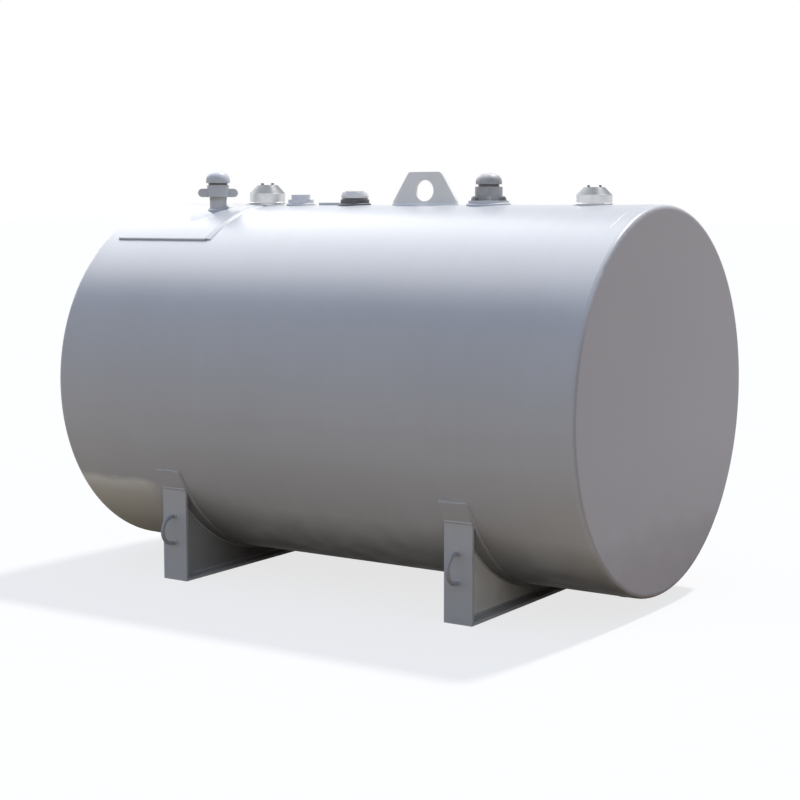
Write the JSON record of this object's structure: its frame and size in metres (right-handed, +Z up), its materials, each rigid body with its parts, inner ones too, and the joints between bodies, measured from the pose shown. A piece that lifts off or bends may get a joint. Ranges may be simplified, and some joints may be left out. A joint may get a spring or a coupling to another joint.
{
  "type": "double-wall fuel tank",
  "caption": "Horizontal cylindrical steel fuel tank with an inner and an outer shell, flat heads, welded saddles, a lifting lug and capped top fittings.",
  "frame": {"origin": "on the ground, under the middle of the tank", "axes": "+X along the tank towards the end that the picture shows, -Y the front that the picture shows, +Z up"},
  "size_m": [2.032, 1.245, 1.4122],
  "materials": {
    "shell_paint": "gloss light grey paint",
    "head_paint": "grey paint",
    "saddle_paint": "satin grey paint",
    "lug_paint": "satin grey paint",
    "fitting_paint": "grey paint over pipe fittings",
    "vent_metal": "cast aluminium",
    "cap_iron": "dark cast caps",
    "inner_steel": "bare mill steel"
  },
  "bodies": {
    "root": {"outer_shell": "shell_paint", "left_head": "head_paint", "right_head": "head_paint", "inner_shell": "inner_steel", "inner_left_head": "inner_steel", "inner_right_head": "inner_steel", "spacer_hoops": "inner_steel", "wear_pad": "shell_paint", "lifting_lug": "lug_paint", "fill_nipple": "fitting_paint", "fill_body": "fitting_paint", "fill_cap": "fitting_paint", "left_vent_neck": "fitting_paint", "left_vent_ring": "vent_metal", "left_vent_cap": "vent_metal", "plug_neck": "fitting_paint", "small_plug": "fitting_paint", "gauge_neck": "cap_iron", "gauge_cap": "fitting_paint", "breather_flange": "fitting_paint", "breather_pipe": "fitting_paint", "breather_body": "cap_iron", "breather_cap": "cap_iron", "right_vent_neck": "fitting_paint", "right_vent_ring": "vent_metal", "right_vent_cap": "vent_metal", "left_saddle_base": "saddle_paint", "left_saddle_web": "saddle_paint", "left_saddle_front_plate": "saddle_paint", "left_saddle_rear_plate": "saddle_paint", "left_saddle_strap": "shell_paint", "left_front_tie_loop": "saddle_paint", "left_rear_tie_loop": "saddle_paint", "right_saddle_base": "saddle_paint", "right_saddle_web": "saddle_paint", "right_saddle_front_plate": "saddle_paint", "right_saddle_rear_plate": "saddle_paint", "right_saddle_strap": "shell_paint", "right_front_tie_loop": "saddle_paint", "right_rear_tie_loop": "saddle_paint"}
  },
  "joints": []
}
